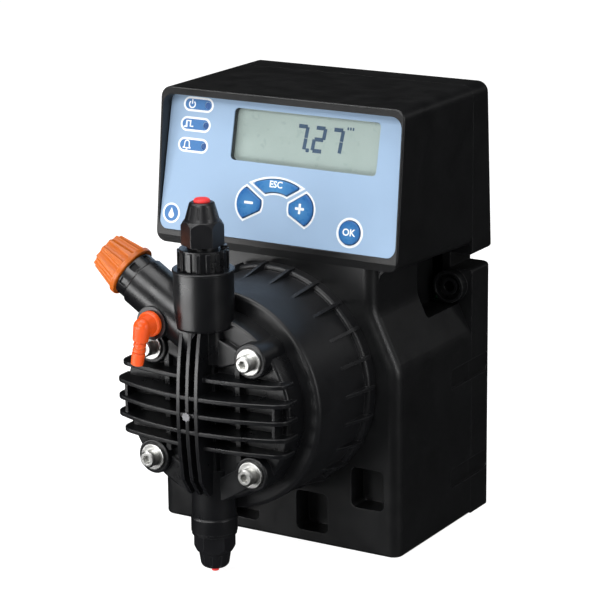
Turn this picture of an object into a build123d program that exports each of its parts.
"""Solenoid-driven diaphragm dosing pump with an LCD control head, one STEP file per piece.

Frame: millimetres, +Z up, origin at the centre of the base, +X to the user's right,
-Y towards the user. The pump head stands out of the front, along -Y.
"""
from build123d import *
from math import atan2, cos, degrees, radians, sin, sqrt
import os

# ---------------------------------------------------------------- driving dimensions
WIDTH = 125.0
FRONT_Y = -43.6
REAR_Y = 46.0
SEAM_Y = 26.0            # where the rear cover meets the front housing
TOP_Z = 201.6
WALL = 3.0
HALF = WIDTH / 2

# control head (upper part of the housing)
RIM_WALL = 2.0           # hood wall round the control panel
RIM_LOW = (-44.2, 135.0)
RIM_TOP = (-37.0, TOP_Z)
HEAD_UNDER_FRONT = 131.4
HEAD_UNDER_REAR = 128.0
HEAD_REAR_TOP_Y = 41.5
HEAD_TOP_RADIUS = 5.0
RIM_RADIUS = 0.8
HEAD_LOW_RADIUS = 5.0

# neck and lower body
NECK_HALF = 50.2
FLARE_LOW = 86.0
FLARE_TOP = 112.0
LOWER_COVER_TOP = 117.0
UPPER_COVER_LOW = 124.0
EDGE_RADIUS = 5.0
POST_PLACES = ((54.0, 9.0), (54.0, 60.0), (53.5, 190.0))   # cover screws: x, z
POST_RADIUS = 4.5
FIXING_X = 52.6          # wall fixing holes
FIXING_Z = 109.0
FIXING_HOLE = 2.6
BUSHING_Y = (-12.0, 12.0)
BUSHING_Z = 32.0
LATCH_Z = (70.0, 22.5)   # finger recesses in the sides
LATCH_DEPTH = 1.4

# label plane: origin at its lower edge, v up the slope, w out towards the user
LABEL_TILT = 12.68
LABEL_FOOT = (0.0, -44.0, 137.0)
LABEL_HALF = 61.0
LABEL_LOW = 0.6
LABEL_HIGH = 62.5
LABEL_THICK = 0.6
PANEL_THICK = 2.6
WINDOW = (-27.0, 47.6, 35.0, 58.2)   # u0, u1, v0, v1
LED_U = -41.3
LED_V = (57.6, 48.6, 39.2)
FAN_U = -1.3                         # centre line of the fan of keys
OK_KEY = (37.7, 9.4)
OK_RADIUS = 5.2
KEY_GAP = 0.35
KEY_PROUD = 0.9
BOARD_POSTS = ((-54.0, 7.0), (54.0, 7.0), (-54.0, 55.0), (54.0, 55.0))

# power board, on the rear wall
BOARD_BACK = 37.6

# drive axis, along Y
AXIS_Z = 77.3
DRUM_RADIUS = 49.2
DRUM_FLANGE_RADIUS = 51.3
DRUM_FLANGE = 6.0
DRUM_FRONT_Y = -88.0
DRUM_RIBS = 24
LUG_REACH = 1.08         # second round of each screw lug, further out, that ties it to the wall
DIAPHRAGM_RADIUS = 30.0
STROKE = 1.25

# pump head
HEAD_DISC_RADIUS = 41.7
HEAD_DISC_FRONT = -100.0
BOLT_OFFSET = 25.05
BOSS_RADIUS = 7.8
WASHER_RADIUS = 5.9
WASHER_THICK = 1.2
BOLT_HEAD_RADIUS = 3.7
BOLT_HEAD_LENGTH = 4.4
BOLT_SHANK = 2.0
BOSS_FRONT = -104.8
FIN_FRONT = -115.3
FIN_PITCH = 7.6
FIN_THICK = 1.9
UPRIGHT_PITCH = 4.5
UPRIGHT_BOW = 4.0
DISCHARGE_Y = -100.5
SUCTION_Y = -96.0
BARREL_RADIUS = 13.0
BARREL_LOW = 113.6
BARREL_TOP = 139.2
COLLAR_HEIGHT = 1.0
RING_RIBS = 16           # grip ribs round the discharge valve body
CROWN_GROOVES = 10
SUCTION_RADIUS = 10.2
SUCTION_LOW = 20.5

# bleed branch and drain elbow
BRANCH_ANGLE = 32.5
BRANCH_RADIUS = 11.3
BRANCH_LENGTH = 37.8
BRANCH_FOOT_Z = 109.4
BLEED_NOTCHES = 8        # round the bleed insert's collar
KNOB_LOW = 43.3
KNOB_TOP = 58.2
KNOB_FLUTES = 12
FLUTE_RADIUS = 2.6
DRAIN_X = -19.0
DRAIN_Z = 115.3
DRAIN_BOSS_RADIUS = 7.3
DRAIN_FACE_Y = -113.0
ELBOW_REACH = 6.4        # from the boss face to the middle of the knee
ELBOW_LEAN = 11.0         # the tail hangs a little off plumb

PARTS = {}


# ---------------------------------------------------------------- small helpers
def box(x0, x1, y0, y1, z0, z1):
    """A box between two corners."""
    centre = Pos((x0 + x1) / 2, (y0 + y1) / 2, (z0 + z1) / 2)
    return centre * Box(abs(x1 - x0), abs(y1 - y0), abs(z1 - z0))


def rod_y(radius, y0, y1, x=0.0, z=AXIS_Z):
    """A cylinder along Y."""
    return Pos(x, (y0 + y1) / 2, z) * Rot(90, 0, 0) * Cylinder(radius, abs(y1 - y0))


def rod_z(radius, z0, z1, x=0.0, y=0.0):
    """A cylinder along Z."""
    return Pos(x, y, (z0 + z1) / 2) * Cylinder(radius, abs(z1 - z0))


def ring_y(outer, inner, y0, y1, x=0.0, z=AXIS_Z):
    """A tube along Y."""
    return rod_y(outer, y0, y1, x, z) - rod_y(inner, y0 - 1, y1 + 1, x, z)


def ring_z(outer, inner, z0, z1, x=0.0, y=0.0):
    """A tube along Z."""
    return rod_z(outer, z0, z1, x, y) - rod_z(inner, z0 - 1, z1 + 1, x, y)


def cone_z(r0, r1, z0, z1, x=0.0, y=0.0):
    """A cone frustum along Z, r0 at z0 and r1 at z1."""
    if z1 < z0:
        r0, r1, z0, z1 = r1, r0, z1, z0
    return Pos(x, y, (z0 + z1) / 2) * Cone(r0, r1, z1 - z0)


def hex_z(across_flats, z0, z1, x=0.0, y=0.0):
    """A hexagonal prism along Z with a flat towards the user."""
    outline = RegularPolygon(across_flats / 2, 6, major_radius=False, rotation=30)
    return Pos(x, y, min(z0, z1)) * extrude(outline, amount=abs(z1 - z0))


def prism_x(points, half):
    """A polygon of (y, z) points drawn out to both sides of the middle plane."""
    face = Plane.YZ * make_face(Polyline(*points, close=True))
    return extrude(face, amount=half, both=True)


def prism_y(face, y0, y1):
    """A face drawn in X and Z, drawn out along Y from y0 to y1 (y1 > y0)."""
    return extrude(Plane.XZ.offset(-y1) * face, amount=y1 - y0)


def mirrored(shape):
    """The shape's mirror image on the other side of the middle plane."""
    return mirror(shape, about=Plane.YZ)


def label_plane():
    """The control panel's plane: x along the row's X, y up the slope, z outwards."""
    tilt = radians(LABEL_TILT)
    return Plane(origin=LABEL_FOOT, x_dir=(1, 0, 0), z_dir=(0, -cos(tilt), sin(tilt)))


def on_panel(shape):
    """Places a shape drawn in (u, v, w) on the control panel."""
    return label_plane().location * shape


def branch_plane():
    """The bleed branch's frame: z runs out along the branch from the discharge axis."""
    angle = radians(BRANCH_ANGLE)
    return Plane(
        origin=(0, DISCHARGE_Y, BRANCH_FOOT_Z),
        x_dir=(sin(angle), 0, cos(angle)),
        z_dir=(-cos(angle), 0, sin(angle)),
    )


def on_branch(shape):
    """Places a shape drawn round Z on the bleed branch."""
    return branch_plane().location * shape


def keep(name, shape):
    """Files a finished piece under its node name."""
    PARTS[name] = shape


# ---------------------------------------------------------------- housing
def body_outline(inset=0.0, top=HEAD_UNDER_FRONT):
    """Front view of the lower body and neck: full width, flaring in to the neck."""
    half = HALF - inset
    neck = NECK_HALF - inset
    right = [(half, inset), (half, FLARE_LOW - inset), (neck, FLARE_TOP - inset), (neck, top)]
    left = [(-x, z) for x, z in reversed(right)]
    face = make_face(Polyline(*right, *left, close=True))
    soft = [v for v in face.vertices() if FLARE_LOW - 5 < v.Y < FLARE_TOP + 1]
    return fillet(soft, 14)


def neck_corner():
    """The concave corner that sweeps from the neck's side into the head's lower corner."""
    r = HALF - HEAD_LOW_RADIUS - NECK_HALF
    z = HEAD_UNDER_FRONT
    corner = Rectangle(r + 1, r + 1, align=(Align.MIN, Align.MAX))
    face = Pos(NECK_HALF - 1, z + 1) * corner - Pos(NECK_HALF + r, z - r) * Circle(r)
    return prism_y(face, FRONT_Y + EDGE_RADIUS, SEAM_Y)


def head_side(rear_y, rear_low, rear_top_y):
    """Side view of the control head, from its leaning rim back to rear_y."""
    return [
        (FRONT_Y, HEAD_UNDER_FRONT),
        RIM_LOW,
        RIM_TOP,
        (rear_top_y, TOP_Z),
        (rear_y, rear_low),
    ]


def long_edges(shape, low, high):
    """The head's edges that run front to back along its sides, between two heights."""
    return [
        e for e in shape.edges()
        if e.bounding_box().size.Y > 50 and low < e.center().Z < high
        and abs(abs(e.center().X) - HALF) < 0.1
    ]


def front_housing():
    """The one-piece front moulding: hood, neck and lower body, open at the rear."""
    body = prism_y(body_outline(), FRONT_Y, SEAM_Y)
    front_edges = body.faces().sort_by(Axis.Y)[0].edges()
    upright = [e for e in front_edges if e.bounding_box().size.Z > 1]
    body = fillet(upright, EDGE_RADIUS)
    low = body.edges().filter_by(Axis.X).group_by(Axis.Z)[0].sort_by(Axis.Y)[0]
    body = fillet(low, 1.5)
    head = prism_x(head_side(SEAM_Y, HEAD_UNDER_REAR, SEAM_Y), HALF)
    head = fillet(long_edges(head, TOP_Z - 5, TOP_Z + 1), HEAD_TOP_RADIUS)
    head = fillet(long_edges(head, 0, HEAD_UNDER_FRONT + 5), HEAD_LOW_RADIUS)
    rim = head.faces().filter_by(lambda f: f.center().Y < FRONT_Y + 12).sort_by(SortBy.AREA)[-1]
    lip = [e for e in rim.edges() if e.center().Z > RIM_LOW[1] + 8]
    head = fillet(lip, RIM_RADIUS)
    shell = body + head + neck_corner() + mirrored(neck_corner())
    shell -= housing_cavity()
    shell += head_ledge()
    shell -= panel_recess()
    shell = side_pocket(shell)
    shell = front_pockets(shell)
    shell -= latch_recesses()
    shell += cover_posts()
    shell -= cover_screw_holes()
    shell -= rod_y(33.0, FRONT_Y - 1, FRONT_Y + WALL + 1)
    for x, z in bracket_screw_places():
        shell -= rod_y(2.2, FRONT_Y - 1, FRONT_Y + WALL + 1, x, z)
    for y in BUSHING_Y:
        shell -= Pos(-HALF, y, BUSHING_Z) * Rot(0, 90, 0) * Cylinder(6.0, 12)
    keep("front_housing", shell)


def housing_cavity():
    """The hollow of the front housing, open at the seam."""
    lower = prism_y(body_outline(WALL, 140.0), FRONT_Y + WALL, SEAM_Y + 1)
    behind = on_panel(Pos(0, 30, -60 - 6.2) * Box(300, 300, 120))
    room = box(-HALF + RIM_WALL, HALF - RIM_WALL, -60, SEAM_Y + 1, 134.0, TOP_Z - 2.6)
    along = room.edges().filter_by(Axis.Y)
    room = fillet(along, 5.0)
    return lower + (room & behind)


def head_ledge():
    """The frame behind the control panel that carries its edge, inside the hood."""
    back = -LABEL_THICK - PANEL_THICK - 0.1
    frame = panel_sheet(back - 3.0, back, LABEL_LOW - 2, LABEL_HIGH + 2, LABEL_HALF + 1)
    hood = prism_x(head_side(SEAM_Y, HEAD_UNDER_REAR, SEAM_Y), HALF - 1)
    return on_panel(frame) & hood


def panel_recess():
    """The room for the control panel: its seat, the opening behind it and the hood in front."""
    room = panel_sheet(-LABEL_THICK - PANEL_THICK - 0.05, 0.0, 0.4, LABEL_HIGH + 0.2, LABEL_HALF + 0.2)
    behind = panel_sheet(-8.0, -1.0, LABEL_LOW + 1.8, LABEL_HIGH - 1.8, LABEL_HALF - 3)
    plane = label_plane()
    low = plane.from_local_coords((0, 0.4, -0.1))
    high = plane.from_local_coords((0, LABEL_HIGH + 0.2, -0.1))
    side = [(low.Y, low.Z), (high.Y, high.Z), (-60, high.Z + 0.8), (-60, low.Z - 3)]
    hood = prism_x(side, LABEL_HALF + 0.2)
    along = [e for e in hood.edges() if abs(e.center().X) > 1 and e.bounding_box().size.Y > 15]
    corners = [e for e in along if e.bounding_box().size.X < 0.1 and e.bounding_box().size.Z < 5]
    hood = fillet(corners, 5.0)
    return on_panel(room + behind) + hood


def side_pocket(shell):
    """Deep pocket in each side of the neck that gives room for the wall fixing."""
    cup = box(NECK_HALF - 11.2, NECK_HALF + 4, -7.0, SEAM_Y, 97.5, HEAD_UNDER_REAR + 2)
    cup = cup & prism_y(body_outline(0.0), FRONT_Y, SEAM_Y)
    pocket = box(NECK_HALF - 8.2, HALF + 5, -4.0, SEAM_Y + 1, 100.5, HEAD_UNDER_REAR)
    pocket = fillet(pocket.edges().filter_by(Axis.X), 2.5)
    for side in (lambda s: s, mirrored):
        shell = shell + side(cup) - side(pocket)
    return shell


def front_pockets(shell):
    """Four blind pockets under the drive bracket, stepped to follow its curve."""
    for x, z in ((47.0, 30.5), (18.2, 14.9)):
        cup = box(x - 10.3, x + 10.3, FRONT_Y + 1, FRONT_Y + 13.0, max(z - 11.6, WALL - 0.5), z + 11.6)
        pocket = box(x - 8.3, x + 8.3, FRONT_Y - 1, FRONT_Y + 11.0, z - 9.4, z + 9.4)
        pocket = fillet(pocket.edges().filter_by(Axis.Y), 2.5)
        for side in (lambda s: s, mirrored):
            shell = shell + side(cup) - side(pocket)
    return shell


def latch_recesses():
    """Shallow finger recesses in both sides, across the seam with the rear cover."""
    cut = Part()
    for z in LATCH_Z:
        recess = box(HALF - LATCH_DEPTH, HALF + 2, 6.0, REAR_Y - 2.5, z - 4.6, z + 4.6)
        recess = fillet(recess.edges().filter_by(Axis.X), 2.2)
        cut += recess
        cut += mirrored(recess)
    return cut


def cover_posts():
    """Posts inside the front housing that take the rear cover's screws."""
    posts = Part()
    for x, z in POST_PLACES:
        post = rod_y(POST_RADIUS, SEAM_Y - 22, SEAM_Y, x, z)
        web = box(x, HALF - 1, SEAM_Y - 22, SEAM_Y, z - 1.2, z + 1.2)
        posts += post + web
        posts += mirrored(post + web)
    return posts


def cover_screw_holes():
    """Pilot holes in the cover posts."""
    holes = Part()
    for x, z in POST_PLACES:
        holes += rod_y(1.5, SEAM_Y - 16, SEAM_Y + 1, x, z)
        holes += rod_y(1.5, SEAM_Y - 16, SEAM_Y + 1, -x, z)
    return holes


def cover_outer():
    """The rear cover's outside: lower and upper parts joined by the neck, with side notches."""
    block = box(-HALF, HALF, SEAM_Y, REAR_Y, 0, LOWER_COVER_TOP)
    lower = fillet([e for e in block.edges().filter_by(Axis.Z) if e.center().Y > SEAM_Y + 5], 5)
    foot = block.edges().filter_by(Axis.X).group_by(Axis.Z)[0].sort_by(Axis.Y)[-1]
    lower = lower & fillet(foot, 3.5)
    lower = fillet(lower.edges().group_by(Axis.Z)[-1].filter_by(Axis.Y), 1.5)
    neck_half = NECK_HALF + 1.0
    neck = box(-neck_half, neck_half, SEAM_Y, REAR_Y - 0.2, LOWER_COVER_TOP - 1, UPPER_COVER_LOW + 1)
    side = [(SEAM_Y, UPPER_COVER_LOW), (SEAM_Y, TOP_Z), (HEAD_REAR_TOP_Y, TOP_Z), (REAR_Y, UPPER_COVER_LOW)]
    upper = prism_x(side, HALF)
    top = upper.edges().filter_by(Axis.Y).group_by(Axis.Z)[-1]
    upper = fillet(top, HEAD_TOP_RADIUS)
    bottom = upper.edges().filter_by(Axis.Y).group_by(Axis.Z)[0]
    upper = fillet(bottom, 1.5)
    rear = upper.faces().sort_by(Axis.Y)[-1].edges()
    upper = fillet(rear, 2.0)
    return lower + neck + upper


def rear_cover():
    """The rear cover: a shallow tray with side notches, wall-fixing lugs and screw bosses."""
    cover = cover_outer()
    low_room = prism_y(body_outline(WALL, UPPER_COVER_LOW + 10), SEAM_Y - 1, REAR_Y - WALL)
    room_side = [
        (SEAM_Y - 1, HEAD_UNDER_REAR + WALL),
        (SEAM_Y - 1, TOP_Z - WALL),
        (HEAD_REAR_TOP_Y - WALL, TOP_Z - WALL),
        (REAR_Y - WALL - 0.4, HEAD_UNDER_REAR + WALL),
    ]
    high_room = prism_x(room_side, HALF - WALL)
    top = high_room.edges().filter_by(Axis.Y).group_by(Axis.Z)[-1]
    high_room = fillet(top, HEAD_TOP_RADIUS - WALL)
    cover -= low_room + high_room
    for x, z in POST_PLACES:
        for side in (x, -x):
            cover += rod_y(POST_RADIUS, SEAM_Y, REAR_Y - 2 if z < 150 else HEAD_REAR_TOP_Y - 1, side, z)
            cover -= rod_y(1.8, SEAM_Y - 1, REAR_Y + 1, side, z)
            cover -= rod_y(3.6, REAR_Y - 8, REAR_Y + 1, side, z)
    for side in (1, -1):
        cover += rod_y(7.5, SEAM_Y - 5, SEAM_Y + 1, side * FIXING_X, FIXING_Z)
        cover -= rod_y(6.3, SEAM_Y - 6, SEAM_Y - 1, side * FIXING_X, FIXING_Z)
        cover += rod_y(4.0, SEAM_Y - 3.5, SEAM_Y, side * FIXING_X, FIXING_Z)
        cover -= rod_y(FIXING_HOLE, SEAM_Y - 6, REAR_Y + 1, side * FIXING_X, FIXING_Z)
    cover -= latch_recesses()
    keep("rear_cover", cover)


def cover_screws():
    """Six self-tapping screws, sunk into the rear cover."""
    screws = []
    for x, z in POST_PLACES:
        for side in (x, -x):
            head = rod_y(3.3, REAR_Y - 8, REAR_Y - 5.4, side, z)
            shank = rod_y(1.45, SEAM_Y - 13, REAR_Y - 7.9, side, z)
            cross = box(side - 1.6, side + 1.6, REAR_Y - 6.8, REAR_Y - 5, z - 0.3, z + 0.3)
            cross += box(side - 0.3, side + 0.3, REAR_Y - 6.8, REAR_Y - 5, z - 1.6, z + 1.6)
            screws.append(head + shank - cross)
    keep("cover_screws", Compound(children=[s.solid() for s in screws]))


def cable_bushings():
    """Two snap-in cable bushings on the left side, each with an open cable hole."""
    solids = []
    for y in BUSHING_Y:
        flange = Pos(-HALF - 1.25, y, BUSHING_Z) * Rot(0, 90, 0) * Cylinder(8.0, 2.5)
        nose = Pos(-HALF - 3.5, y, BUSHING_Z) * Rot(0, -90, 0) * Cone(6.2, 5.0, 3.0)
        neck = Pos(-HALF + 2.0, y, BUSHING_Z) * Rot(0, 90, 0) * Cylinder(5.9, 5.0)
        hole = Pos(-HALF, y, BUSHING_Z) * Rot(0, 90, 0) * Cylinder(3.4, 30)
        solids.append((flange + nose + neck - hole).solid())
    keep("cable_bushings", Compound(children=solids))


# ---------------------------------------------------------------- control panel
def side_key_outline(side):
    """Outline of the minus key (side -1) or plus key (side 1): a leaf of the fan."""
    def at(u, v):
        return (FAN_U + side * u, v)
    top, outer, foot = at(15.4, 23.6), at(19.6, 16.2), at(15.9, 9.8)
    inner_low, inner_mid, inner_high = at(7.8, 14.1), at(7.3, 16.3), at(7.4, 18.5)
    edges = [
        ThreePointArc(top, outer, foot),
        Line(foot, inner_low),
        ThreePointArc(inner_low, inner_mid, inner_high),
        Line(inner_high, top),
    ]
    face = make_face(edges)
    return fillet(face.vertices(), 0.7)


def esc_key_outline():
    """Outline of the middle key of the fan."""
    def at(u, v):
        return (FAN_U + u, v)
    edges = [
        ThreePointArc(at(-12.0, 25.8), at(0, 28.5), at(12.0, 25.8)),
        Line(at(12.0, 25.8), at(5.5, 21.9)),
        ThreePointArc(at(5.5, 21.9), at(0, 22.9), at(-5.5, 21.9)),
        Line(at(-5.5, 21.9), at(-12.0, 25.8)),
    ]
    face = make_face(edges)
    return fillet(face.vertices(), 0.7)


def key_outlines():
    """All four key outlines by node name."""
    return {
        "key_minus": side_key_outline(-1),
        "key_esc": esc_key_outline(),
        "key_plus": side_key_outline(1),
        "key_ok": Pos(*OK_KEY) * Circle(OK_RADIUS),
    }


def window_outline(grow=0.0):
    """The display opening, with rounded corners."""
    u0, u1, v0, v1 = WINDOW
    shape = RectangleRounded(u1 - u0 + 2 * grow, v1 - v0 + 2 * grow, 2.0)
    return Pos((u0 + u1) / 2, (v0 + v1) / 2) * shape


def slab(face, w0, w1):
    """A face on the control panel, made solid between two heights."""
    return Pos(0, 0, w0) * extrude(face, amount=w1 - w0)


def panel_sheet(w0, w1, low, high, half):
    """A rounded sheet in the control panel's plane."""
    face = Pos(0, (low + high) / 2) * RectangleRounded(2 * half, high - low, 4.0)
    return slab(face, w0, w1)


def control_panel():
    """The carrier plate behind the label, with posts for the board."""
    plate = panel_sheet(-LABEL_THICK - PANEL_THICK, -LABEL_THICK, 0.5, LABEL_HIGH + 0.1, LABEL_HALF)
    plate -= slab(window_outline(), -5, 1)
    for face in key_outlines().values():
        plate -= slab(offset(face, KEY_GAP), -5, 1)
    for v in LED_V:
        plate -= Pos(LED_U, v, -2) * Cylinder(1.7, 6)
    for u, v in BOARD_POSTS:
        plate += Pos(u, v, -5.0) * Cylinder(2.4, 3.8)
        plate -= Pos(u, v, -4.8) * Cylinder(1.0, 4.4)
    keep("control_panel", on_panel(plate))


def label_panel():
    """The printed membrane label: window, key and lamp openings."""
    sheet = panel_sheet(-LABEL_THICK, 0, LABEL_LOW, LABEL_HIGH, LABEL_HALF - 0.1)
    sheet -= slab(window_outline(), -5, 1)
    for face in key_outlines().values():
        sheet -= slab(offset(face, KEY_GAP), -5, 1)
    for v in LED_V:
        sheet -= Pos(LED_U, v, -2) * Cylinder(1.55, 6)
    keep("label_panel", on_panel(sheet))


def display_parts():
    """The clear window and the display module behind it."""
    keep("display_window", on_panel(slab(window_outline(-0.1), -2.6, -0.9)))
    u0, u1, v0, v1 = WINDOW
    low, high = v0 - 3.4, v1 + 0.3
    frame = Pos((u0 + u1) / 2, (low + high) / 2) * Rectangle(u1 - u0 + 6, high - low)
    keep("lcd_module", on_panel(slab(frame, -6.9, -3.3)))


def keys():
    """Four domed keys, each with a flange behind the panel that keeps it in."""
    for name, face in key_outlines().items():
        key = slab(face, -3.6, KEY_PROUD)
        top = key.faces().sort_by(Axis.Z)[-1]
        key = fillet(top.edges(), 0.45)
        key += slab(offset(face, KEY_GAP + 0.55), -4.0, -3.3)
        keep(name, on_panel(key))


def key_places():
    """The middle of each key, for the switches behind them."""
    return ((FAN_U - 13.0, 16.6), (FAN_U, 25.0), (FAN_U + 13.0, 16.6), OK_KEY)


def board_parts():
    """Control board with its switches, lamps, light pipes and screws."""
    board = Pos(0, 30.5, -7.7) * Box(115, 56, 1.6)
    for u, v in BOARD_POSTS:
        board -= Pos(u, v, -7.7) * Cylinder(1.3, 3)
    keep("control_board", on_panel(board))
    switches = []
    for u, v in key_places():
        base = Pos(u, v, -6.2) * Box(5.5, 4.0, 1.4)
        stem = Pos(u, v, -5.1) * Cylinder(1.5, 1.0)
        switches.append(on_panel(base + stem).solid())
    keep("key_switches", Compound(children=switches))
    lamps = [on_panel(Pos(LED_U, v, -5.75) * Box(3.0, 2.4, 2.3)).solid() for v in LED_V]
    keep("status_lamps", Compound(children=lamps))
    pipes = [on_panel(Pos(LED_U, v, -2.3) * Cylinder(1.5, 4.4)).solid() for v in LED_V]
    keep("status_light_pipes", Compound(children=pipes))
    screws = []
    for u, v in BOARD_POSTS:
        head = Pos(u, v, -9.3) * Cylinder(2.0, 1.6)
        shank = Pos(u, v, -6.6) * Cylinder(0.95, 4.0)
        screws.append(on_panel(head + shank).solid())
    keep("control_board_screws", Compound(children=screws))


# ---------------------------------------------------------------- power electronics
def power_parts():
    """Power board on the rear cover's wall, with transformer, capacitors and terminals."""
    board = box(-44, 44, 36.0, BOARD_BACK, 20, 100)
    standoffs = []
    for x in (-38, 38):
        for z in (26, 94):
            standoffs.append(rod_y(2.5, BOARD_BACK, REAR_Y - WALL, x, z).solid())
    keep("power_board", board)
    keep("power_board_standoffs", Compound(children=standoffs))
    core = box(-40, -4, 8, 36.0, 30, 72)
    bobbin = box(-34, -10, 4, 36.0, 38, 64)
    keep("transformer", core + bobbin)
    cans = [rod_y(8, 6, 36.0, 16, z).solid() for z in (40, 62)]
    keep("capacitors", Compound(children=cans))
    block = box(-30, 30, 24, 36.0, 84, 94)
    for i in range(8):
        x = -26.25 + 7.5 * i
        block -= rod_y(2.0, 20, 31, x, 89)
    keep("terminal_block", block)


# ---------------------------------------------------------------- drive
def bracket_screw_places():
    """Four screws through the housing's front wall into the drive bracket."""
    reach = 39.5 / sqrt(2)
    return [(sx * reach, AXIS_Z + sz * reach) for sx in (1, -1) for sz in (1, -1)]


def bolt_places():
    """The pump head's four bolts."""
    return [(sx * BOLT_OFFSET, AXIS_Z + sz * BOLT_OFFSET) for sx in (1, -1) for sz in (1, -1)]


def drum_rib(angle):
    """A thin gusset on the drum: tall at the flange, running out towards the front."""
    points = [(44.0, -45.0), (52.3, -45.4), (52.3, -50.0), (DRUM_RADIUS, -66.0), (44.0, -66.0)]
    face = make_face(Polyline(*points, close=True))
    rib = extrude(face, amount=0.7, both=True)
    return Pos(0, 0, AXIS_Z) * Rot(0, -angle, 0) * rib


def drive_bracket():
    """The ribbed drum that carries the solenoid and the pump head."""
    drum = rod_y(DRUM_RADIUS, DRUM_FRONT_Y, FRONT_Y)
    front = drum.faces().sort_by(Axis.Y)[0].edges()
    drum = fillet(front, 2.0)
    flange = rod_y(DRUM_FLANGE_RADIUS, FRONT_Y - DRUM_FLANGE, FRONT_Y)
    lip = flange.faces().sort_by(Axis.Y)[0].edges()
    drum += fillet(lip, 2.0)
    for i in range(DRUM_RIBS):
        drum += drum_rib(2.5 + 360.0 / DRUM_RIBS * i)
    drum -= rod_y(45.6, DRUM_FRONT_Y + 6.0, FRONT_Y + 1)
    for x, z in bolt_places():
        drum += rod_y(6.0, DRUM_FRONT_Y + 5.0, -68.0, x, z)
        drum -= rod_y(BOLT_SHANK + 0.05, DRUM_FRONT_Y - 1, -70.0, x, z)
    for x, z in bracket_screw_places():
        drum += rod_y(4.6, -60.0, FRONT_Y, x, z)
        drum += rod_y(4.6, -60.0, FRONT_Y, x * LUG_REACH, AXIS_Z + (z - AXIS_Z) * LUG_REACH)
        drum -= rod_y(1.6, -57.0, FRONT_Y + 1, x, z)
    drum -= rod_y(DIAPHRAGM_RADIUS + 0.2, DRUM_FRONT_Y - 1, DRUM_FRONT_Y + 2.4)
    drum -= rod_y(15.0, DRUM_FRONT_Y - 1, DRUM_FRONT_Y + 4.0)
    drum -= rod_y(8.0, DRUM_FRONT_Y - 1, DRUM_FRONT_Y + 7.0)
    keep("drive_bracket", drum)


def bracket_screws():
    """The screws that hold the drive bracket from inside the housing."""
    screws = []
    for x, z in bracket_screw_places():
        head = rod_y(3.6, FRONT_Y + WALL, FRONT_Y + WALL + 2.6, x, z)
        shank = rod_y(1.5, -54.0, FRONT_Y + WALL + 0.1, x, z)
        screws.append((head + shank).solid())
    keep("bracket_screws", Compound(children=screws))


def solenoid():
    """The solenoid: yoke, end plate, bobbin, winding, guide tube and fixed pole."""
    yoke = rod_y(28.5, -82.0, -24.0) - rod_y(26.0, -77.0, -23.0) - rod_y(8.0, -83.0, -76.0)
    keep("solenoid_yoke", yoke)
    keep("solenoid_end_plate", ring_y(28.5, 12.8, -24.0, -19.0))
    bobbin = rod_y(14.2, -76.8, -24.2) + rod_y(25.4, -76.8, -74.8) + rod_y(25.4, -26.2, -24.2)
    keep("coil_bobbin", bobbin - rod_y(12.9, -80.0, -20.0))
    keep("coil_winding", ring_y(24.8, 14.2, -74.8, -26.2))
    keep("armature_guide_tube", ring_y(12.8, 11.87, -77.0, -19.0))
    pole = rod_y(11.8, -77.0, -60.0) - rod_y(4.3, -78.0, -59.0) - rod_y(8.0, -69.0, -59.0)
    keep("pole_piece", pole)
    cap = rod_y(16.0, -19.0, -8.0) - rod_y(13.5, -20.0, -10.0)
    keep("stop_cap", cap)
    keep("stop_bumper", rod_y(8.0, -13.8, -10.0))


def plunger():
    """What the solenoid moves: armature, push rod, return spring and diaphragm core."""
    armature = rod_y(11.8, -57.6, -14.0) - rod_y(4.0, -58.0, -35.0)
    keep("armature", chamfer(armature.faces().sort_by(Axis.Y)[-1].edges(), 0.8))
    rod = rod_y(4.0, -84.4, -35.0) + rod_y(2.5, -86.6, -84.3)
    keep("push_rod", rod)
    path = Helix(pitch=2.1, height=8.4, radius=6.2)
    wire_plane = Plane(origin=path @ 0, z_dir=path % 0)
    spring = sweep(wire_plane * Circle(0.6), path=path, is_frenet=True)
    keep("return_spring", Pos(0, -58.3, AXIS_Z) * Rot(90, 0, 0) * spring)
    core = rod_y(14.0, -88.0, -84.4) - rod_y(2.5, -86.7, -84.0)
    keep("diaphragm_core", fillet(core.faces().sort_by(Axis.Y)[0].edges(), 0.8))


def diaphragm_parts():
    """The clamped diaphragm ring and the push rod's front bearing."""
    keep("diaphragm", ring_y(DIAPHRAGM_RADIUS, 14.3, DRUM_FRONT_Y, DRUM_FRONT_Y + 2.3))
    keep("front_bearing", ring_y(8.0, 4.05, -83.9, -77.5))


# ---------------------------------------------------------------- pump head
def fin(z, half, front, sag, radius):
    """A horizontal cooling fin: bowed front edge, well rounded ends."""
    back = HEAD_DISC_FRONT + 3.5
    edges = [
        Line((-half, back), (-half, front + sag)),
        ThreePointArc((-half, front + sag), (0, front), (half, front + sag)),
        Line((half, front + sag), (half, back)),
        Line((half, back), (-half, back)),
    ]
    face = make_face(edges)
    ends = [v for v in face.vertices() if v.Y < back - 0.5]
    face = fillet(ends, radius)
    plate = Pos(0, 0, z - FIN_THICK / 2) * extrude(face, amount=FIN_THICK)
    return fillet(plate.faces().sort_by(Axis.Y)[0].edges().filter_by(GeomType.CIRCLE), 0.4)


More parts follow.
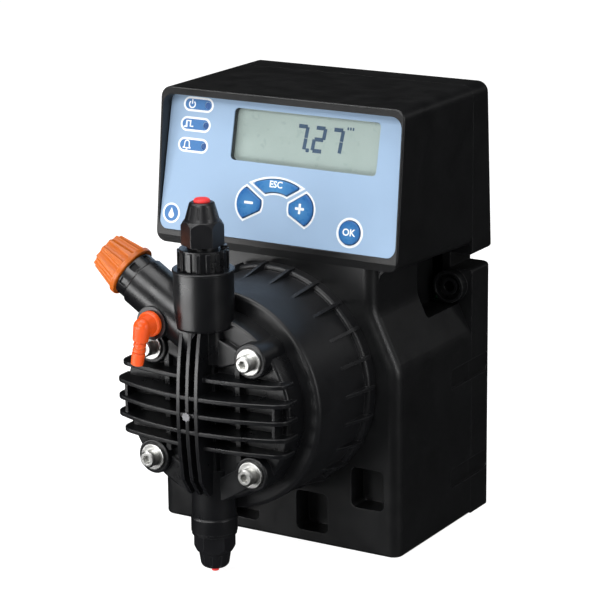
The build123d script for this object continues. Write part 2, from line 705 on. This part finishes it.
def upright_fin(x):
    """One of the upright fins: bowed front edge, cut back where it runs on to the suction lobe."""
    reach = 115.0 - AXIS_Z
    low, high = AXIS_Z - reach, AXIS_Z + reach
    end_y = FIN_FRONT + UPRIGHT_BOW
    edges = [
        Line((-96.0, low), (end_y, low)),
        ThreePointArc((end_y, low), (FIN_FRONT - 0.3, AXIS_Z), (end_y, high)),
        Line((end_y, high), (-96.0, high)),
        Line((-96.0, high), (-96.0, low)),
    ]
    blade = extrude(Plane.YZ * make_face(edges), amount=0.8, both=True)
    blade -= prism_x([(FIN_FRONT - 2, 54), (FIN_FRONT - 2, 30), (-106.5, 30), (-106.5, 38)], 2)
    return Pos(x, 0, 0) * blade


def fins():
    """Five horizontal fins, the outer two shorter, with three upright fins across them."""
    rows = Part()
    for i in range(-2, 3):
        z = AXIS_Z + 0.4 + FIN_PITCH * i
        if abs(i) == 2:
            rows += fin(z, 41.8, FIN_FRONT + 4.3, 6.0, 7.0)
        else:
            rows += fin(z, 43.4, FIN_FRONT, 9.5, 7.0)
    for x in (-UPRIGHT_PITCH, 0.0, UPRIGHT_PITCH):
        rows += upright_fin(x)
    middle = AXIS_Z + 0.4
    for x in (37.5, -37.5):
        rows += box(x - 0.7, x + 0.7, -106.5, -98, middle - FIN_PITCH, middle + FIN_PITCH)
    spine = UPRIGHT_PITCH + 1.9
    rows += box(-spine, spine, -103.5, -98, 50.0, 103.0)
    for x in (17.9, -17.9):
        rows += box(x - 1.2, x + 1.2, -103.5, -98, 56.0, 100.0)
    return rows


def head_arm(x0, z0, x1, z1, width, front):
    """A rounded bar in front of the disc that ties a bolt boss to a valve barrel."""
    length = sqrt((x1 - x0) ** 2 + (z1 - z0) ** 2)
    angle = degrees(atan2(z1 - z0, x1 - x0))
    bar = SlotCenterToCenter(length, width)
    face = Pos((x0 + x1) / 2, (z0 + z1) / 2) * Rot(0, 0, angle) * bar
    return prism_y(face, front, -90)


def head_body():
    """The outside of the pump head before its holes are cut."""
    disc = rod_y(HEAD_DISC_RADIUS, HEAD_DISC_FRONT, DRUM_FRONT_Y)
    disc = fillet(disc.faces().sort_by(Axis.Y)[0].edges(), 1.5)
    body = disc
    for x, z in bolt_places():
        boss = rod_y(BOSS_RADIUS, BOSS_FRONT, DRUM_FRONT_Y, x, z)
        body += fillet(boss.faces().sort_by(Axis.Y)[0].edges(), 0.8)
        if z < AXIS_Z:
            reach = 7.0 if x > 0 else -7.0
            body += head_arm(x, z, reach, AXIS_Z - 36.0, 9.0, -102.0)
    gusset = [(4, 112.0), (7, 110.6), (18, 105.6), (BOLT_OFFSET, AXIS_Z + BOLT_OFFSET), (10, 97), (4, 97)]
    web = prism_y(make_face(Polyline(*gusset, close=True)), -103.4, -90)
    web = fillet(web.faces().sort_by(Axis.Y)[0].edges(), 0.8)
    body += web + mirrored(web)
    column = box(-9.2, 9.2, -106.0, -90, 98.5, BARREL_LOW + 1)
    body += fillet([e for e in column.edges().filter_by(Axis.Z) if e.center().Y < -100], 5.0)
    body += fins()
    barrel = rod_z(BARREL_RADIUS, BARREL_LOW, BARREL_TOP - 0.5, 0, DISCHARGE_Y)
    body += fillet(barrel.edges().group_by(Axis.Z)[0], 1.2)
    collar = rod_z(BARREL_RADIUS + 0.4, BARREL_TOP - COLLAR_HEIGHT, BARREL_TOP, 0, DISCHARGE_Y)
    body += fillet(collar.edges().group_by(Axis.Z)[-1], 0.4)
    lobe = rod_z(SUCTION_RADIUS - 0.5, SUCTION_LOW + 6, 50.0, 0, SUCTION_Y)
    body += lobe
    foot = rod_z(SUCTION_RADIUS, SUCTION_LOW, SUCTION_LOW + 7, 0, SUCTION_Y)
    body += fillet(foot.edges().group_by(Axis.Z)[-1], 0.8)
    branch = rod_z(BRANCH_RADIUS, 0, BRANCH_LENGTH)
    body += on_branch(fillet(branch.edges().group_by(Axis.Z)[-1], 0.8))
    body += rod_y(DRAIN_BOSS_RADIUS, DRAIN_FACE_Y, -93, DRAIN_X, DRAIN_Z)
    return body - box(-80, 80, DRUM_FRONT_Y, -50, 0, 200)


def pump_head():
    """The finned pump head with chamber, valve pockets, bleed branch and drain boss."""
    body = head_body()
    body -= rod_y(24.0, DRUM_FRONT_Y - 2.6, DRUM_FRONT_Y + 1)
    for x, z in bolt_places():
        body -= rod_y(BOLT_SHANK + 0.2, -120, DRUM_FRONT_Y + 1, x, z)
        body -= rod_y(6.3, -120, BOSS_FRONT, x, z)
    body -= rod_y(2.5, DISCHARGE_Y, DRUM_FRONT_Y, 0, AXIS_Z + 19)
    body -= rod_z(3.0, AXIS_Z + 19, 118, 0, DISCHARGE_Y)
    body -= rod_z(8.2, 117, BARREL_TOP + 1, 0, DISCHARGE_Y)
    body -= rod_y(2.5, SUCTION_Y, DRUM_FRONT_Y, 0, AXIS_Z - 19)
    body -= rod_z(3.0, 37, AXIS_Z - 19, 0, SUCTION_Y)
    body -= rod_z(7.2, SUCTION_LOW - 1, 38, 0, SUCTION_Y)
    body -= on_branch(rod_z(1.6, 2, 21))
    body -= on_branch(rod_z(7.2, 20, BRANCH_LENGTH + 1))
    body -= rod_y(4.06, DRAIN_FACE_Y - 1, -103, DRAIN_X, DRAIN_Z)
    body -= rod_y(1.5, -104, -97, DRAIN_X, DRAIN_Z)
    keep("pump_head", body)


def head_fasteners():
    """Four socket-head bolts with their washers."""
    bolts, washers = [], []
    for x, z in bolt_places():
        seat = BOSS_FRONT - WASHER_THICK
        head = rod_y(BOLT_HEAD_RADIUS, seat - BOLT_HEAD_LENGTH, seat, x, z)
        head = chamfer(head.faces().sort_by(Axis.Y)[0].edges(), 0.7)
        shank = rod_y(BOLT_SHANK, seat - 0.1, -71.0, x, z)
        socket_face = Pos(x, z) * RegularPolygon(1.7, 6, major_radius=False)
        socket = prism_y(socket_face, seat - BOLT_HEAD_LENGTH - 1, seat - BOLT_HEAD_LENGTH + 2.4)
        bolts.append((head + shank - socket).solid())
        ring = ring_y(WASHER_RADIUS, BOLT_SHANK + 0.1, seat, BOSS_FRONT, x, z)
        ring = fillet(ring.faces().sort_by(Axis.Y)[0].edges().sort_by(Edge.radius)[-1], 0.4)
        washers.append(ring.solid())
    keep("head_bolts", Compound(children=bolts))
    keep("head_washers", Compound(children=washers))
    rosette = Circle(1.5)
    for i in range(8):
        rosette += Rot(0, 0, 45 * i) * Pos(1.55, 0) * Circle(0.55)
    keep("head_badge", prism_y(Pos(0, AXIS_Z) * rosette, FIN_FRONT - 1.1, FIN_FRONT - 0.3))


# ---------------------------------------------------------------- valves
def fluted_crown(r_low, r_high, z0, z1, y, end_radius):
    """The tapered grip of a tube nut: a cone with shallow grooves and a rounded outer end."""
    crown = cone_z(r_low, r_high, z0, z1, 0, y)
    narrow = 0 if r_low < r_high else -1
    crown = fillet(crown.edges().group_by(Axis.Z)[narrow], end_radius)
    slope = degrees(atan2(r_low - r_high, z1 - z0))
    middle = Pos((r_low + r_high) / 2 + 0.5, 0, (z0 + z1) / 2)
    for i in range(CROWN_GROOVES):
        groove = middle * Rot(0, -slope, 0) * Cylinder(0.8, z1 - z0 - 3.0)
        crown -= Pos(0, y, 0) * Rot(0, 0, 360.0 / CROWN_GROOVES * i) * groove
    return crown


def discharge_valve():
    """Discharge valve: seat, ball, caged body, tube nut and transit plug."""
    y = DISCHARGE_Y
    keep("discharge_seat", ring_z(8.1, 2.6, 117.05, 120.0, 0, y))
    ball_z = 120.0 + sqrt(4.0**2 - 2.6**2) + 0.02
    keep("discharge_ball", Pos(0, y, ball_z) * Sphere(4.0))
    ring_top = BARREL_TOP + 8.8
    body = rod_z(8.1, 120.05, BARREL_TOP + 0.5, 0, y)
    body += rod_z(10.2, BARREL_TOP + 0.05, ring_top, 0, y)
    for i in range(RING_RIBS):
        rib = Pos(10.2, 0, BARREL_TOP + 4.2) * Box(1.8, 1.8, 7.8)
        body += Pos(0, y, 0) * Rot(0, 0, 360.0 / RING_RIBS * i) * rib
    lug = Pos(8.9, 0, ring_top - 0.4) * Box(2.8, 3.4, 3.0)
    body += Pos(0, y, 0) * Rot(0, 0, 38) * lug
    body += rod_z(6.6, ring_top - 0.2, 156.0, 0, y)
    body += rod_z(3.2, 156.0, 162.0, 0, y)
    body -= rod_z(4.7, 119, 130.5, 0, y)
    body -= rod_z(2.2, 130, 163, 0, y)
    keep("discharge_valve_body", body)
    nut = hex_z(16.0, 149.4, 160.0, 0, y)
    nut = nut & (cone_z(9.9, 7.9, 156.8, 160.1, 0, y) + rod_z(9.9, 149.0, 156.8, 0, y))
    nut += fluted_crown(7.6, 5.3, 159.9, 168.0, y, 1.2)
    nut -= rod_z(6.8, 148, 157.0, 0, y)
    nut -= rod_z(4.4, 156.9, 163.0, 0, y)
    nut -= rod_z(3.6, 162.9, 170, 0, y)
    keep("discharge_tube_nut", nut)
    plug = rod_z(3.5, 163.2, 169.5, 0, y)
    keep("discharge_plug", fillet(plug.edges().group_by(Axis.Z)[-1], 1.0))


def suction_valve():
    """Suction valve: body pushed in from below, with seat, ball, tube nut and plug."""
    y = SUCTION_Y
    body = rod_z(7.1, SUCTION_LOW - 0.1, 36.5, 0, y)
    body += rod_z(9.9, SUCTION_LOW - 1.4, SUCTION_LOW, 0, y)
    body += rod_z(6.3, 12.8, SUCTION_LOW, 0, y)
    body += rod_z(2.6, 8.2, 13.0, 0, y)
    body -= rod_z(4.7, 26.0, 37.0, 0, y)
    body -= rod_z(1.7, 7.0, 27.0, 0, y)
    keep("suction_valve_body", body)
    keep("suction_seat", ring_z(4.65, 2.4, 26.0, 28.0, 0, y))
    ball_z = 28.0 + sqrt(3.6**2 - 2.4**2) + 0.02
    keep("suction_ball", Pos(0, y, ball_z) * Sphere(3.6))
    nut = hex_z(15.8, 11.2, SUCTION_LOW - 1.5, 0, y)
    nut = nut & (cone_z(7.9, 10.2, 11.1, 15.0, 0, y) + rod_z(10.2, 15.0, 20.0, 0, y))
    nut += fluted_crown(6.0, 7.2, 3.4, 11.3, y, 2.6)
    nut -= rod_z(6.5, 12.6, 21, 0, y)
    nut -= rod_z(3.9, 8.0, 13.0, 0, y)
    nut -= rod_z(2.75, 2, 9, 0, y)
    keep("suction_tube_nut", nut)
    plug = rod_z(2.65, 2.6, 7.8, 0, y)
    plug = fillet(plug.edges().group_by(Axis.Z)[0], 1.0)
    keep("suction_plug", plug + rod_z(1.6, 1.4, 3.2, 0, y))


def valve_small_parts():
    """Tube ferrules and the O-rings under the valve bodies' flanges."""
    upper = ring_z(4.3, 3.25, 157.2, 162.6, 0, DISCHARGE_Y)
    lower = ring_z(3.8, 2.65, 8.3, 12.5, 0, SUCTION_Y)
    keep("tube_ferrules", Compound(children=[upper.solid(), lower.solid()]))


# ---------------------------------------------------------------- bleed valve and drain
def bleed_valve_body():
    """The screwed insert in the bleed branch."""
    body = rod_z(7.1, 24.0, BRANCH_LENGTH + 0.5) + rod_z(10.4, BRANCH_LENGTH, 43.0)
    for i in range(BLEED_NOTCHES):
        notch = Pos(10.6, 0, 40.6) * Box(2.4, 3.4, 3.2)
        body -= Rot(0, 0, 360.0 / BLEED_NOTCHES * i) * notch
    body += rod_z(6.2, 42.9, 50.0)
    body -= rod_z(3.06, 23, 51)
    body -= rod_z(4.6, 28.0, 30.0)
    keep("bleed_valve_body", on_branch(body))
    keep("bleed_o_ring", on_branch(ring_z(4.58, 3.1, 28.1, 29.9)))


def bleed_needle():
    """The needle that the bleed knob screws in and out."""
    needle = rod_z(3.0, 22.0, 52.0) + cone_z(0.9, 3.0, 19.8, 22.0)
    keep("bleed_needle", on_branch(needle))


def bleed_knob():
    """The fluted bleed knob: a tapered cup with a plain lip."""
    low, r_low, r_high = KNOB_LOW + 1.6, 11.4, 8.7
    knob = cone_z(r_low, r_high, low, KNOB_TOP)
    slope = degrees(atan2(r_low - r_high, KNOB_TOP - low))
    middle = Pos((r_low + r_high) / 2 + FLUTE_RADIUS - 1.0, 0, (low + KNOB_TOP) / 2)
    for i in range(KNOB_FLUTES):
        flute = middle * Rot(0, -slope, 0) * Cylinder(FLUTE_RADIUS, 18.0)
        knob -= Rot(0, 0, 360.0 / KNOB_FLUTES * (i + 0.5)) * flute
    lip = rod_z(12.0, KNOB_LOW, KNOB_LOW + 2.0)
    knob += fillet(lip.edges().group_by(Axis.Z)[0], 0.5)
    knob -= rod_z(6.7, KNOB_LOW - 1, 52.0)
    keep("bleed_knob", on_branch(knob))


def drain_elbow():
    """The drain elbow: spigot, flange, tapered neck, knee and barbed tail."""
    face = DRAIN_FACE_Y
    stem_y = face - ELBOW_REACH
    body = rod_y(5.6, face - 2.4, face - 0.15, 0, 0)
    body = fillet(body.faces().sort_by(Axis.Y)[0].edges(), 1.0)
    neck = Pos(0, (face - 2.0 + stem_y) / 2, 0) * Rot(90, 0, 0)
    body += neck * Cone(5.0, 3.8, ELBOW_REACH - 2.0)
    body += rod_y(4.0, face - 1.0, -104.2, 0, 0)
    body += Pos(0, stem_y, 0) * Sphere(3.9)
    shoulder = cone_z(3.4, 3.9, -6.4, 0, 0, stem_y)
    body += fillet(shoulder.edges().group_by(Axis.Z)[0], 0.6)
    body += rod_z(2.2, -12.0, -6.0, 0, stem_y)
    for z in (-7.2, -9.6):
        barb = cone_z(2.9, 2.6, z - 1.7, z, 0, stem_y)
        body += fillet(barb.edges(), 0.35)
    tail = cone_z(2.7, 2.9, -17.4, -11.8, 0, stem_y)
    body += fillet(tail.edges(), 0.5)
    body -= rod_z(1.2, -18.0, 0, 0, stem_y)
    body -= rod_y(1.5, stem_y, -103, 0, 0)
    body -= ring_y(5.0, 3.1, -108.8, -107.2, 0, 0)
    place = Pos(DRAIN_X, 0, DRAIN_Z) * Rot(0, ELBOW_LEAN, 0)
    keep("drain_elbow", place * body)
    keep("elbow_o_ring", ring_y(4.0, 3.15, -108.7, -107.3, DRAIN_X, DRAIN_Z))


# ---------------------------------------------------------------- build and write
def build():
    """Makes every piece."""
    front_housing()
    rear_cover()
    cover_screws()
    cable_bushings()
    control_panel()
    label_panel()
    display_parts()
    keys()
    board_parts()
    power_parts()
    drive_bracket()
    bracket_screws()
    solenoid()
    plunger()
    diaphragm_parts()
    pump_head()
    head_fasteners()
    discharge_valve()
    suction_valve()
    valve_small_parts()
    bleed_valve_body()
    bleed_needle()
    bleed_knob()
    drain_elbow()


def write():
    """Writes one STEP file per piece."""
    os.makedirs("parts", exist_ok=True)
    for name, shape in PARTS.items():
        export_step(shape, os.path.join("parts", name + ".step"))


build()
write()
print(len(PARTS), "parts written")
